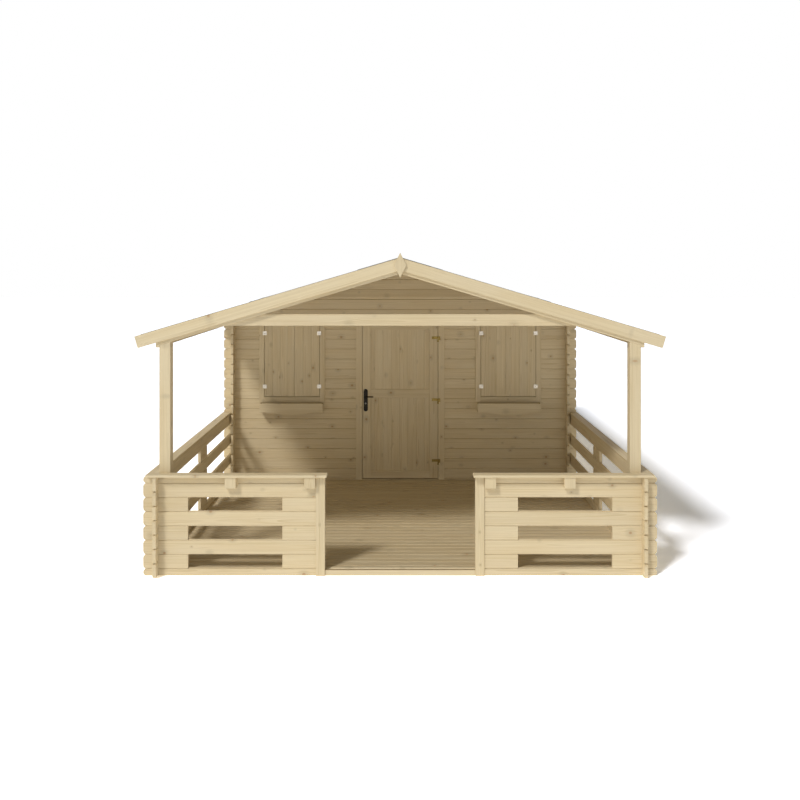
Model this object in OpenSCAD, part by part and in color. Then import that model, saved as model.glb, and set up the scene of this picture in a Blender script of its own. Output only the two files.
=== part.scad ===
// Log cabin garden shed with a covered veranda.
// Every wall is a stack of tongue and groove logs. The logs of a front wall sit half a log
// lower than those of a side wall, and both are notched a quarter log deep, top and bottom,
// where they cross, so that each corner locks.
// X runs across the front, Y from the veranda to the back, Z up from the ground.

/* [Logs] */
// Height of one log, face to face
log_h = 113; // [90:1:140]
// Thickness of a log
log_t = 28; // [24:1:44]
// Length of the logs in the cabin walls, tip to tip
log_len = 4000; // [3400:10:4600]
// How far a log runs on past the wall that it crosses
tip = 94; // [70:1:140]
// Radius on the top and bottom corners of a log's tip
tip_r = 27; // [5:1:40]
// Bevel along the edges of a log
bevel = 4; // [2:0.5:6]

/* [Veranda] */
// From the front of the parapet to the front of the cabin wall
veranda_d = 2936; // [1800:1:3600]
// Width of the entrance between its posts
entrance_w = 1194; // [800:2:1400]
// Length of the slots in the front parapets
slot_w = 750; // [300:5:900]
// From the middle of the shed to the middle of a front slot
slot_x = 1310; // [1250:5:1380]
// Side of a square porch post
post_s = 88; // [70:1:120]
// Width of the cap board on the rails
cap_w = 88; // [60:1:120]
// Thickness of the cap board
cap_t = 20; // [14:1:28]

/* [Roof] */
// Height of the underside of the roof boards at the ridge
ridge_z = 2504; // [2450:1:2600]
// Rise of the roof for each unit of run
slope = 0.296; // [0.28:0.002:0.32]
// Thickness of the roof boards
deck_t = 19; // [16:1:24]
// Thickness of the felt
felt_t = 6; // [3:1:8]
// Half width of the roof to the tip of a bargeboard
barge_x = 2116; // [2080:1:2200]
// Width of a bargeboard
barge_w = 97.5; // [80:0.5:140]
// Thickness of bargeboards, fascias and finials
trim_t = 16; // [12:1:22]
// Width of a finial
finial_w = 100; // [60:1:120]
// Height of a finial
finial_h = 201; // [140:1:220]

/* [Door] */
// Width of the door leaf
leaf_w = 852; // [700:2:900]
// Height of the top of the door leaf
leaf_top = 1830; // [1780:1:1835]
// Height of the bottom of the door leaf
leaf_z = 55.5; // [55:0.5:70]
// Thickness of the door leaf
leaf_t = 36; // [30:1:44]
// Width of the boards that frame the door opening
jamb_w = 70; // [60:1:80]

/* [Windows] */
// From the middle of the shed to the middle of a window
window_x = 1226; // [1200:1:1240]
// Width of a closed pair of shutters
shutter_w = 620; // [500:1:640]
// Height of the bottom of the shutters
shutter_z = 987; // [980:1:1000]
// Height of the top of the shutters
shutter_top = 1820; // [1700:1:1830]
// Width of the boards that frame a window
casing_w = 62; // [50:1:70]
// Width of a window box
planter_w = 710; // [600:1:760]
// How far a window box stands out from the wall
planter_d = 115; // [80:1:140]

/* [Hidden] */
$fn = 48;

// Colours
PINE = "burlywood";
PALE = "wheat";
FELT = "slategray";
BRASS = "goldenrod";
STEEL = "silver";
BLACK = "darkslategray";
CLEAR = "lightblue";

// Gaps that let stacked or crossing logs stay separate pieces
seam = 1.2;
notch_play = 0.5;
roof_play = 0.1;
big = 9000;

// Tongue and groove of a log
tongue_w = 10;
tongue_h = 6;
groove_w = 11;
groove_h = 7;

// Lengthwise places. front_y is the face of the front parapet, and the bounding box of the
// shed, from the tips of the side rails to the back finial, is centred on Y = 0.
rail_tip = 73;
wall_outer = log_len - 2 * tip;
roof_back = veranda_d + wall_outer + tip + 88;
front_y = -(roof_back + trim_t - rail_tip) / 2;
parapet_mid = front_y + log_t / 2;
cabin_y = front_y + veranda_d;
cabin_mid_y = cabin_y + log_t / 2;
back_mid_y = cabin_y + wall_outer - log_t / 2;
roof_front_y = front_y + 12;
rafter_y = roof_front_y + trim_t;
roof_back_y = front_y + roof_back;

// Crosswise places, measured from the middle
wall_mid_x = wall_outer / 2 - log_t / 2;
wall_in_x = wall_mid_x - log_t / 2;
rail_in_x = 1920;
rail_mid_x = rail_in_x + log_t / 2;
parapet_tip_x = 2040;
entrance_x = entrance_w / 2;
entrance_post_w = 72;
log_rows = 17;
gable_top_row = 22;

// The top log of a side wall is this much taller, so that its bevel meets the roof
plate_rise = 30;

// Floors and openings
joist_h = 34;
floor_t = 16;
floor_z = joist_h + floor_t;
board_pitch = 88;
parapet_clear = 38;
jamb_in_x = leaf_w / 2 + 5;
jamb_out_x = jamb_in_x + jamb_w;
jamb_grip = 26;
door_log_x = jamb_out_x - jamb_grip;
opening_top = (log_rows - 0.5) * log_h;
window_bottom = 8.5 * log_h;
casing_grip = 30;
rail_rows = 7;
rail_top = rail_rows * log_h;

function roof_under(x) = ridge_z - slope * abs(x);

// ---------------------------------------------------------------------------
// Logs
// ---------------------------------------------------------------------------

// Section of a log: bevelled edges, a tongue above and a groove below
module log_section(height, groove, tongue) {
    side = log_t / 2;
    top = height - seam;
    taper = 1.5;
    polygon(concat(
        [[side - bevel, 0], [side, bevel], [side, top - bevel], [side - bevel, top]],
        tongue ? [[tongue_w / 2, top], [tongue_w / 2 - taper, top + tongue_h],
                  [taper - tongue_w / 2, top + tongue_h], [-tongue_w / 2, top]] : [],
        [[bevel - side, top], [-side, top - bevel], [-side, bevel], [bevel - side, 0]],
        groove ? [[-groove_w / 2, 0], [taper - groove_w / 2, groove_h],
                  [groove_w / 2 - taper, groove_h], [groove_w / 2, 0]] : []
    ));
}

// Points of one rounded corner of a tip, counter-clockwise from an angle
function corner(x, z, from) = [for (a = [0:18:90]) [x + tip_r * cos(from + a), z + tip_r * sin(from + a)]];

// Outline of a log seen square on: tips rounded where tips says so, and quarter-log
// notches where it crosses another log
module log_outline(x0, x1, height, tips, crossings, low, high) {
    r = tip_r;
    left = x0 + (tips[0] ? r : 0);
    right = x1 - (tips[1] ? r : 0);
    difference() {
        union() {
            polygon(concat(
                tips[0] ? corner(left, r, 180) : [[x0, 0]],
                tips[1] ? corner(right, r, 270) : [[x1, 0]],
                tips[1] ? corner(right, height - r, 0) : [[x1, height]],
                tips[0] ? corner(left, height - r, 90) : [[x0, height]]));
            translate([left, height - 1]) square([right - left, tongue_h + 2]);
        }
        for (c = crossings) {
            if (low > 0) translate([c - log_t / 2 - notch_play, -1])
                square([log_t + 2 * notch_play, low + 1 + seam / 2]);
            if (high > 0) translate([c - log_t / 2 - notch_play, height - high - seam / 2])
                square([log_t + 2 * notch_play, high + tongue_h + 4]);
        }
    }
}

// A log along X with its underside at z0. tips says which ends are rounded tips.
module log_x(x0, x1, z0, height = log_h, tips = [true, true], crossings = [],
             low = log_h / 4, high = log_h / 4, groove = true, tongue = true) {
    translate([0, 0, z0]) intersection() {
        translate([x0 - 1, 0, 0]) rotate([90, 0, 90]) linear_extrude(x1 - x0 + 2)
            log_section(height, groove, tongue);
        translate([0, log_t / 2 + 1, 0]) rotate([90, 0, 0]) linear_extrude(log_t + 2)
            log_outline(x0, x1, height, tips, crossings, low, high);
    }
}

// The same log along Y
module log_y(y0, y1, z0, height = log_h, tips = [true, true], crossings = [],
             low = log_h / 4, high = log_h / 4, groove = true, tongue = true) {
    rotate([0, 0, 90]) log_x(y0, y1, z0, height, tips, crossings, low, high, groove, tongue);
}

// Everything below the roof boards, as a solid to trim logs with
module under_roof() {
    translate([0, big / 2, 0]) rotate([90, 0, 0]) linear_extrude(big)
        polygon([[-2600, -100], [2600, -100], [2600, roof_under(2600)], [0, ridge_z],
                 [-2600, roof_under(2600)]]);
}

// Row n of a front or back wall. Row 0 is the half log on the ground.
module cross_row(n) {
    low_row = n == 0;
    log_x(-log_len / 2, log_len / 2, low_row ? 0 : (n - 0.5) * log_h,
          height = low_row ? log_h / 2 : log_h, crossings = [-wall_mid_x, wall_mid_x],
          low = low_row ? 0 : log_h / 4, groove = !low_row);
}

// The rows of a front or back wall up to the eaves
module cross_rows() {
    for (n = [0:log_rows - 1]) cross_row(n);
}

// The gable rows, trimmed to the roof and pocketed for the purlins
module gable_rows() {
    difference() {
        intersection() {
            union() {
                for (n = [log_rows:gable_top_row - 1]) {
                    half = min(log_len / 2, (ridge_z - (n - 0.5) * log_h) / slope);
                    log_x(-half, half, (n - 0.5) * log_h, tips = [n == log_rows, n == log_rows],
                          crossings = n == log_rows ? [-wall_mid_x, wall_mid_x] : []);
                }
                top_z = (gable_top_row - 0.5) * log_h;
                top_half = (ridge_z - top_z) / slope;
                log_x(-top_half, top_half, top_z, height = ridge_z - top_z, tips = [false, false],
                      tongue = false);
            }
            under_roof();
        }
        for (x = purlin_x) purlin_pocket(x);
    }
}

// A side wall: full logs from the ground, the top one bevelled to the roof
module side_wall(side) {
    color(PINE) intersection() {
        translate([side * wall_mid_x, 0, 0]) for (n = [0:log_rows - 1]) {
            top_row = n == log_rows - 1;
            log_y(cabin_y - tip, cabin_y + wall_outer + tip, n * log_h,
                  height = top_row ? log_h + plate_rise : log_h,
                  crossings = [cabin_mid_y, back_mid_y],
                  high = top_row ? log_h / 4 + plate_rise : log_h / 4,
                  groove = n > 0, tongue = !top_row);
        }
        under_roof();
    }
}

module left_wall() side_wall(-1);
module right_wall() side_wall(1);

module back_wall() color(PINE) translate([0, back_mid_y, 0]) cross_rows();
module back_gable() color(PINE) translate([0, back_mid_y, 0]) gable_rows();
module front_gable() color(PINE) translate([0, cabin_mid_y, 0]) gable_rows();

// One half of the front wall, cut for the door and for its window
module front_wall_half(side) {
    color(PINE) translate([0, cabin_mid_y, 0]) difference() {
        cross_rows();
        translate([side > 0 ? -3000 + door_log_x : -door_log_x, -50, -10]) cube([3000, 100, 3000]);
        window_hole(side, casing_w - casing_grip);
    }
}

// The hole for a window, as far outside the shutters as grow
module window_hole(side, grow) {
    half = shutter_w / 2 + grow;
    translate([side * window_x - half, -60, window_bottom])
        cube([2 * half, 120, opening_top - window_bottom - seam]);
}

module front_wall_left() front_wall_half(-1);
module front_wall_right() front_wall_half(1);

// ---------------------------------------------------------------------------
// Floors
// ---------------------------------------------------------------------------

// Floor boards along X between two places along Y, with a slot at each seam between boards
module boarded_floor(half_w, y0, y1, seams, gap, depth) {
    translate([-half_w, 0, joist_h]) rotate([90, 0, 90]) linear_extrude(2 * half_w)
        polygon(concat(
            [[y0, 0], [y0, floor_t]],
            [for (y = seams) each [[y - gap / 2, floor_t], [y - gap / 2, floor_t - depth],
                                   [y + gap / 2, floor_t - depth], [y + gap / 2, floor_t]]],
            [[y1, floor_t], [y1, 0]]));
}

// The veranda's boards are laid apart, and cut around the posts, the wall and the door frame
module veranda_floor() {
    cut_h = 60;
    seams = [for (y = [board_pitch:board_pitch:veranda_d - board_pitch / 4]) front_y + y];
    color(PALE) difference() {
        boarded_floor(rail_in_x - 1, front_y + parapet_clear, cabin_y, seams, 5, 10);
        for (s = [-1, 1]) {
            translate([s * (rail_in_x - post_s / 2), front_y + log_t + post_s / 2, joist_h])
                cube([post_s + 3, post_s + 3, cut_h], center = true);
            translate([s * (wall_mid_x + 20), cabin_y, joist_h])
                cube([76, 2 * tip + 4, cut_h], center = true);
            translate([s * (jamb_in_x + jamb_w / 2), cabin_y, joist_h])
                cube([jamb_w + 3, 2 * frame_out, cut_h], center = true);
        }
        translate([0, cabin_y, joist_h]) cube([2 * jamb_in_x + 4, 2 * frame_out, cut_h], center = true);
    }
}

// The boards inside are butted
module cabin_floor() {
    y0 = cabin_y + log_t + frame_out;
    y1 = back_mid_y - log_t / 2 - 2;
    seams = [for (y = [y0 + board_pitch:board_pitch:y1 - board_pitch / 4]) y];
    color(PALE) boarded_floor(wall_in_x - 2, y0, y1, seams, 1.6, 6);
}

module floor_bearers() {
    w = 44;
    color(PINE) for (x = [-1790, -1200, -600, 0, 600, 1200, 1790]) {
        translate([x - w / 2, front_y + parapet_clear + 2, 0])
            cube([w, veranda_d - parapet_clear - 2 - frame_out - 3, joist_h]);
        translate([x - w / 2, cabin_y + log_t + frame_out + 1, 0])
            cube([w, wall_outer - 2 * log_t - frame_out - 7, joist_h]);
    }
}

module threshold() {
    step_h = 45;
    color(PALE) translate([-entrance_x, front_y, 0]) cube([entrance_w, log_t, step_h]);
}

// ---------------------------------------------------------------------------
// Door
// ---------------------------------------------------------------------------

frame_depth = 60;
// How far the frame stands out from each face of the wall, with play for the floors
frame_out = (frame_depth - log_t) / 2 + 1;
frame_front_y = cabin_mid_y - frame_depth / 2;
leaf_front_y = frame_front_y;
hinge_x = leaf_w / 2 + 2.5;
hinge_y = leaf_front_y - 8.5;
hinge_z = [264, 953, 1654];
strap_h = 30;
knuckle_h = 32;
knuckle_r = 8;
pin_r = 5;
hinge_t = 3;
handle_x = -390;
lever_z = 985;
plate_t = 8;

// The frame grips the cut ends of the logs in a groove, and a strip behind stops the leaf
module door_frame() {
    head_z = leaf_top + 5;
    stop_y = leaf_front_y + leaf_t + 5;
    color(PALE) union() {
        for (s = [-1, 1]) difference() {
            translate([s * (jamb_in_x + jamb_w / 2), cabin_mid_y, head_z / 2 + 35])
                cube([jamb_w, frame_depth, head_z + jamb_w], center = true);
            translate([s * (jamb_out_x - jamb_grip / 2 + 5), cabin_mid_y, opening_top / 2 - 50])
                cube([jamb_grip + 12, log_t + 1, opening_top + 100], center = true);
            translate([s * jamb_out_x, cabin_mid_y, opening_top + 60])
                cube([3 * jamb_w, log_t + 1, 120], center = true);
        }
        // head, open above the lintel log
        translate([-jamb_in_x, frame_front_y, head_z]) cube([2 * jamb_in_x, frame_depth, opening_top - head_z - 1]);
        for (y = [frame_front_y, cabin_mid_y + log_t / 2 + 0.5])
            translate([-jamb_in_x, y, head_z]) cube([2 * jamb_in_x, frame_depth / 2 - log_t / 2 - 0.5, jamb_w]);
        // sill
        translate([-jamb_in_x, frame_front_y, 0]) cube([2 * jamb_in_x, frame_depth, floor_z]);
        // stop strips
        for (s = [-1, 1]) translate([s * (jamb_in_x - 7.5) - 7.5, stop_y, floor_z])
            cube([15, frame_front_y + frame_depth - stop_y, head_z - floor_z]);
        translate([-jamb_in_x, stop_y, head_z - 15]) cube([2 * jamb_in_x, frame_front_y + frame_depth - stop_y, 15]);
    }
}

// A framed and boarded leaf: stiles and three rails stand proud of upright boards
module door_leaf() {
    stile = 95;
    rails = [[leaf_z, 88], [974, 96], [leaf_top - 88, 88]];
    inner_w = leaf_w - 2 * stile;
    board_w = 94;
    seams = [for (n = [-3:3]) let (x = n * board_w - 6) if (abs(x) < inner_w / 2 - 12) x];
    color(PALE) difference() {
        union() {
            for (s = [-1, 1]) translate([s * (leaf_w / 2 - stile / 2) - stile / 2, leaf_front_y, leaf_z])
                cube([stile, leaf_t, leaf_top - leaf_z]);
            for (r = rails) translate([-inner_w / 2, leaf_front_y, r[0]]) cube([inner_w, leaf_t, r[1]]);
            translate([0, 0, leaf_z]) linear_extrude(leaf_top - leaf_z)
                board_row(-inner_w / 2, inner_w / 2, leaf_front_y + 14, 16, seams);
        }
        translate([handle_x, 0, lever_z]) rotate([-90, 0, 0])
            translate([0, 0, leaf_front_y - 1]) cylinder(r = 6, h = leaf_t + 2);
    }
}

// Plan of upright boards from x0 to x1, with V grooves on both faces at each seam
module board_row(x0, x1, y, thick, seams) {
    v = 3;
    last = len(seams) - 1;
    polygon(concat(
        [[x0, y]],
        [for (x = seams) each [[x - v, y], [x, y + v], [x + v, y]]],
        [[x1, y], [x1, y + thick]],
        [for (n = [last:-1:0]) each [[seams[n] + v, y + thick], [seams[n], y + thick - v],
                                     [seams[n] - v, y + thick]]],
        [[x0, y + thick]]));
}

// Strap and upper knuckle of each hinge, on the leaf
module door_hinge_straps() {
    strap_x = 359;
    color(BRASS) for (z = hinge_z) translate([0, 0, z - strap_h / 2]) difference() {
        union() {
            translate([strap_x, leaf_front_y - hinge_t, 0]) cube([hinge_x - strap_x, hinge_t, strap_h]);
            translate([hinge_x - 6, hinge_y, 0]) cube([6, leaf_front_y - hinge_y, strap_h]);
            translate([hinge_x, hinge_y, 0]) cylinder(r = knuckle_r, h = strap_h);
        }
        translate([hinge_x, hinge_y, -1]) cylinder(r = pin_r + 0.05, h = strap_h + 2);
        translate([hinge_x, leaf_front_y, -1]) cube([20, 20, strap_h + 2]);
    }
}

// Pin of each hinge, with the knuckle below the strap and the plate on the frame
module door_hinge_pins() {
    web_h = 9;
    plate_x = hinge_x + 10;
    color(BRASS) for (z = hinge_z) translate([0, 0, z - strap_h / 2 - 1]) {
        translate([hinge_x, hinge_y, -knuckle_h]) cylinder(r = pin_r, h = knuckle_h + strap_h + 2);
        translate([hinge_x, hinge_y, -knuckle_h]) cylinder(r = knuckle_r, h = knuckle_h);
        translate([hinge_x, hinge_y + 2, -web_h]) cube([12, leaf_front_y - hinge_y - 2, web_h]);
        translate([plate_x, leaf_front_y - hinge_t, -web_h]) cube([15, hinge_t, web_h + strap_h + 1]);
    }
}

// Outer and inner plate behind the lever, pierced for its spindle
module door_handle_plates() {
    half_w = 23;
    low = 820 + half_w;
    high = 1073 - half_w;
    color(BLACK) for (y = [leaf_front_y - plate_t, leaf_front_y + leaf_t]) difference() {
        translate([handle_x, y + plate_t, 0]) rotate([90, 0, 0]) linear_extrude(plate_t) {
            for (z = [low, high]) translate([0, z]) circle(r = half_w);
            translate([-half_w, low]) square([2 * half_w, high - low]);
        }
        translate([handle_x, y - 1, lever_z]) rotate([-90, 0, 0]) cylinder(r = 6, h = plate_t + 2);
    }
}

module door_lock_cylinder() {
    lock_z = 911;
    proud = 4;
    color(STEEL) for (y = [leaf_front_y - plate_t - proud, leaf_front_y + leaf_t + plate_t])
        translate([handle_x, y, lock_z]) rotate([-90, 0, 0]) cylinder(r = 8.5, h = proud);
}

// Two levers on one spindle through the leaf
module door_lever() {
    reach = 48;
    grip = 88;
    bar_r = 8;
    neck_gap = plate_t + 1;
    color(BLACK) union() {
        translate([handle_x, leaf_front_y - reach, lever_z]) rotate([-90, 0, 0])
            cylinder(r = 4, h = 2 * reach + leaf_t);
        for (side = [-1, 1]) {
            neck_y = side < 0 ? leaf_front_y - reach : leaf_front_y + leaf_t + neck_gap;
            bar_y = side < 0 ? leaf_front_y - reach : leaf_front_y + leaf_t + reach;
            translate([handle_x, neck_y, lever_z]) rotate([-90, 0, 0]) cylinder(r = bar_r, h = reach - neck_gap);
            translate([handle_x, bar_y, lever_z]) rotate([0, 90, 0]) cylinder(r = bar_r, h = grip - bar_r);
            translate([handle_x, bar_y, lever_z]) sphere(r = bar_r);
            translate([handle_x + grip - bar_r, bar_y, lever_z]) sphere(r = bar_r);
        }
    }
}

// ---------------------------------------------------------------------------
// Windows
// ---------------------------------------------------------------------------

casing_t = 12;
casing_front_y = cabin_y - casing_t;
casing_depth = log_t + 2 * casing_t;
shutter_t = 18;
shutter_front_y = casing_front_y - 2;
shutter_gap = 4;
shutter_meet = 28;
sash_w = 45;
sash_t = 28;
sash_y = cabin_mid_y - 4;
mullion_w = 40;

// A ring in the XZ plane around the shutters, from inner to outer, extruded along Y
module ring(side, inner, outer, y, depth, low = undef, high = undef) {
    z0 = is_undef(low) ? shutter_z : low;
    z1 = is_undef(high) ? shutter_top : high;
    translate([side * window_x, y + depth, 0]) rotate([90, 0, 0]) linear_extrude(depth) difference() {
        translate([-shutter_w / 2 - outer, z0 - outer]) square([shutter_w + 2 * outer, z1 - z0 + 2 * outer]);
        translate([-shutter_w / 2 - inner, z0 - inner]) square([shutter_w + 2 * inner, z1 - z0 + 2 * inner]);
    }
}

// Casing boards outside and inside, joined by a core that fills the hole in the logs
module window_frame(side) {
    color(PALE) union() {
        ring(side, shutter_gap, casing_w, casing_front_y, casing_t - 0.5);
        ring(side, shutter_gap, shutter_gap + 20, casing_front_y, casing_depth);
        ring(side, shutter_gap, casing_w, casing_front_y + casing_depth - casing_t + 0.5, casing_t - 0.5);
    }
}

module left_window_frame() window_frame(-1);
module right_window_frame() window_frame(1);

// A glazed sash behind each pair of shutters
module window_sashes() {
    color(PALE) for (side = [-1, 1]) union() {
        ring(side, -sash_w, shutter_gap - 2, sash_y, sash_t);
        translate([side * window_x - mullion_w / 2, sash_y, shutter_z])
            cube([mullion_w, sash_t, shutter_top - shutter_z]);
    }
}

module window_glass() {
    pane_w = (shutter_w - mullion_w) / 2 - sash_w;
    pane_t = 4;
    color(CLEAR) for (side = [-1, 1], half = [-1, 1])
        translate([side * window_x + half * (mullion_w + pane_w) / 2 - pane_w / 2,
                   sash_y + (sash_t - pane_t) / 2, shutter_z + sash_w])
            cube([pane_w, pane_t, shutter_top - shutter_z - 2 * sash_w]);
}

// A pair of boarded shutters, parted at meet. Seams are measured from the window's middle.
module shutters(side, meet, seams) {
    edges = [-shutter_w / 2, meet, shutter_w / 2];
    color(PALE) translate([side * window_x, 0, shutter_z + 1]) linear_extrude(shutter_top - shutter_z - 2)
        for (leaf = [0, 1]) {
            x0 = edges[leaf] + (leaf == 0 ? 0 : 1);
            x1 = edges[leaf + 1] - (leaf == 0 ? 1 : 0);
            board_row(x0, x1, shutter_front_y, shutter_t, [for (x = seams) if (x > x0 + 9 && x < x1 - 9) x]);
        }
}

// The leaf by the door is narrower by about one board
module left_shutters() shutters(-1, shutter_meet, [-220, -133, -47, 126, 218]);
module right_shutters() shutters(1, -shutter_meet, [-220, -133, 30, 127, 220]);

// Square clips over the joint between the shutters and the casing
module shutter_clips() {
    clip = 45;
    clip_t = 6;
    color(STEEL) for (side = [-1, 1], end = [-1, 1], z = [1102, 1705])
        translate([side * window_x + end * (shutter_w / 2 - 2) - clip / 2, shutter_front_y - clip_t,
                   z - clip / 2]) cube([clip, clip_t, clip]);
}

// Outline of a window box's front: flat ends and a shallow double curve between
function planter_edge(u) = 0.5 - 0.5 * cos(360 * u);
module window_boxes() {
    top = 915;
    lip = 7;
    flat = 823;
    drop = 36;
    shoulder = 70;
    t = 16;
    front = cabin_y - planter_d;
    steps = 24;
    color(PALE) for (side = [-1, 1]) translate([side * window_x, 0, 0]) {
        difference() {
            translate([-planter_w / 2, front, flat]) cube([planter_w, planter_d, top - flat]);
            translate([-planter_w / 2 + t, front + t, flat + t])
                cube([planter_w - 2 * t, planter_d - 2 * t, top]);
        }
        translate([0, front + t, 0]) rotate([90, 0, 0]) linear_extrude(t)
            polygon(concat(
                [[-planter_w / 2, top + lip], [-planter_w / 2, flat]],
                [for (n = [0:steps]) let (u = n / steps)
                    [(u - 0.5) * (planter_w - 2 * shoulder), flat - drop * planter_edge(u)]],
                [[planter_w / 2, flat], [planter_w / 2, top + lip]]));
    }
}

// ---------------------------------------------------------------------------
// Veranda rails
// ---------------------------------------------------------------------------

// The front parapet right of the entrance: rows 1, 3 and 5 leave a slot
module parapet() {
    inner_x = entrance_x + entrance_post_w - 28;
    color(PINE) translate([0, parapet_mid, 0]) for (n = [0:rail_rows]) {
        bottom_row = n == 0;
        top_row = n == rail_rows;
        height = bottom_row || top_row ? log_h / 2 : log_h;
        z = bottom_row ? 0 : (n - 0.5) * log_h;
        spans = n % 2 == 1 && !top_row
            ? [[inner_x, slot_x - slot_w / 2, false], [slot_x + slot_w / 2, parapet_tip_x, true]]
            : [[inner_x, parapet_tip_x, true]];
        for (s = spans) log_x(s[0], s[1], z, height = height, tips = [false, s[2]],
                              crossings = s[2] ? [rail_mid_x] : [],
                              low = bottom_row ? 0 : log_h / 4, high = top_row ? 0 : log_h / 4,
                              groove = !bottom_row, tongue = !top_row);
    }
}

module front_right_rail() parapet();
module front_left_rail() mirror([1, 0, 0]) parapet();

// A side rail: rows 0, 2, 4 and 6 run the whole way, blocks fill the corner and the middle
module side_rail(side) {
    tip_y = front_y - rail_tip;
    corner_end = 270;
    block = [1460, 1730];
    color(PINE) translate([side * rail_mid_x, 0, 0]) for (n = [0:rail_rows - 1]) {
        spans = n % 2 == 0
            ? [[tip_y, cabin_y, true]]
            : [[tip_y, front_y + corner_end, true], [front_y + block[0], front_y + block[1], false]];
        for (s = spans) log_y(s[0], s[1], n * log_h, tips = [s[2], false],
                              crossings = s[2] ? [parapet_mid] : [],
                              groove = n > 0, tongue = n < rail_rows - 1);
    }
}

module left_rail() side_rail(-1);
module right_rail() side_rail(1);

// Grooved posts that close the parapets at the entrance
module entrance_posts() {
    color(PALE) for (side = [-1, 1]) difference() {
        translate([side * (entrance_x + entrance_post_w / 2), parapet_mid, rail_top / 2])
            cube([entrance_post_w, 48, rail_top], center = true);
        translate([side * (entrance_x + entrance_post_w), parapet_mid, rail_top / 2])
            cube([58, log_t + 1, rail_top + 2], center = true);
    }
}

module rail_caps() {
    cap_over = 17;
    color(PALE) for (side = [-1, 1]) {
            x0 = entrance_x - cap_over;
        x1 = rail_in_x + cap_w;
        translate([side > 0 ? x0 : -x1, front_y + log_t - cap_w, rail_top]) cube([x1 - x0, cap_w, cap_t]);
        translate([side > 0 ? rail_in_x : -x1, front_y + log_t + 0.5, rail_top])
            cube([cap_w, veranda_d - log_t - 1, cap_t]);
    }
}

// Blocks under the caps, outside the rails
module cap_brackets() {
    reach = 48;
    block = 88;
    rail_out_x = rail_in_x + log_t;
    color(PALE) for (side = [-1, 1]) translate([0, 0, rail_top - block]) {
        for (x = [714, 1340])
            translate([side * x - block / 2, front_y - reach, 0]) cube([block, reach, block]);
        for (y = [300, 1180, 2060, 2860])
            translate([side > 0 ? rail_out_x : -rail_out_x - reach, front_y + y - block / 2, 0])
                cube([reach, block, block]);
    }
}

// Square posts in the corners of the veranda, cut to the slope of the rafters
module porch_posts() {
    color(PALE) for (side = [-1, 1]) mirror([side < 0 ? 1 : 0, 0, 0])
        translate([0, front_y + log_t + post_s, 0]) rotate([90, 0, 0]) linear_extrude(post_s)
            polygon([[rail_in_x - post_s, 0], [rail_in_x, 0],
                     [rail_in_x, roof_under(rail_in_x) - rafter_drop],
                     [rail_in_x - post_s, roof_under(rail_in_x - post_s) - rafter_drop]]);
}

// ---------------------------------------------------------------------------
// Roof
// ---------------------------------------------------------------------------

rafter_drop = 108;
purlin_x = [-994, 0, 994];
purlin_w = 44;
purlin_h = 78;
deck_rise = deck_t * sqrt(1 + slope * slope);
felt_rise = felt_t * sqrt(1 + slope * slope);
deck_end_x = 2045;

// Logs over the veranda that carry on the line of the rails, bevelled to the roof
module eave_plates() {
    color(PINE) intersection() {
        for (side = [-1, 1]) translate([side * rail_mid_x, 0, 0])
            log_y(rafter_y, cabin_y, (log_rows - 1) * log_h, height = log_h + plate_rise,
                  tips = [false, false], groove = false, tongue = false);
        under_roof();
    }
}

// One purlin's section, its top bevelled to the roof; the ridge purlin is a gable itself
module purlin_shape(x, play) {
    half = purlin_w / 2 + play;
    low = roof_under(abs(x) + half) - purlin_h - play;
    polygon([[x - half, low], [x + half, low], [x + half, roof_under(x + half)],
             [x, x == 0 ? ridge_z : roof_under(x)], [x - half, roof_under(x - half)]]);
}

module purlins() {
    y0 = rafter_y + log_t;
    color(PINE) for (x = purlin_x) translate([0, roof_back_y - trim_t, 0]) rotate([90, 0, 0])
        linear_extrude(roof_back_y - trim_t - y0) purlin_shape(x, 0);
}

// The pocket that a purlin needs in a gable log
module purlin_pocket(x) {
    half = purlin_w / 2 + notch_play;
    low = roof_under(abs(x) + purlin_w / 2) - purlin_h - notch_play;
    translate([x - half, -50, low]) cube([2 * half, 100, 400]);
}

// Half of a sloping board: from x = 0 out to x1, between two drops below the underside line
module slope_half(x1, above, below, square_cut) {
    lean = square_cut ? (above + below) * slope / (1 + slope * slope) : 0;
    polygon([[0.5, roof_under(0.5) + above], [x1, roof_under(x1) + above],
             [x1 - lean, roof_under(x1 - lean) - below], [0.5, roof_under(0.5) - below]]);
}

module sloping(y, thick, side) {
    mirror([side < 0 ? 1 : 0, 0, 0]) translate([0, y + thick, 0]) rotate([90, 0, 0])
        linear_extrude(thick) children();
}

module front_rafters() {
    color(PINE) for (side = [-1, 1]) sloping(rafter_y, log_t, side)
        slope_half(rail_in_x - 0.5, 0, rafter_drop, false);
}

module bargeboards(y) {
    color(PALE) for (side = [-1, 1]) sloping(y, trim_t, side)
        slope_half(barge_x, deck_rise, barge_w * sqrt(1 + slope * slope) - deck_rise, true);
}

module front_bargeboards() bargeboards(roof_front_y);
module back_bargeboards() bargeboards(roof_back_y - trim_t);

module collar_beam() {
    low = 1980;
    high = 2072;
    color(PINE) translate([0, rafter_y + 2 * log_t, 0]) rotate([90, 0, 0]) linear_extrude(log_t)
        polygon([for (p = [[-1, low], [1, low], [1, high], [-1, high]])
            [p[0] * ((ridge_z - p[1]) / slope - 1), p[1]]]);
}

module roof_deck(side) {
    color(PALE) sloping(rafter_y, roof_back_y - trim_t - rafter_y, side)
        slope_half(deck_end_x, deck_rise, -roof_play, false);
}

module left_roof_deck() roof_deck(-1);
module right_roof_deck() roof_deck(1);

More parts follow.
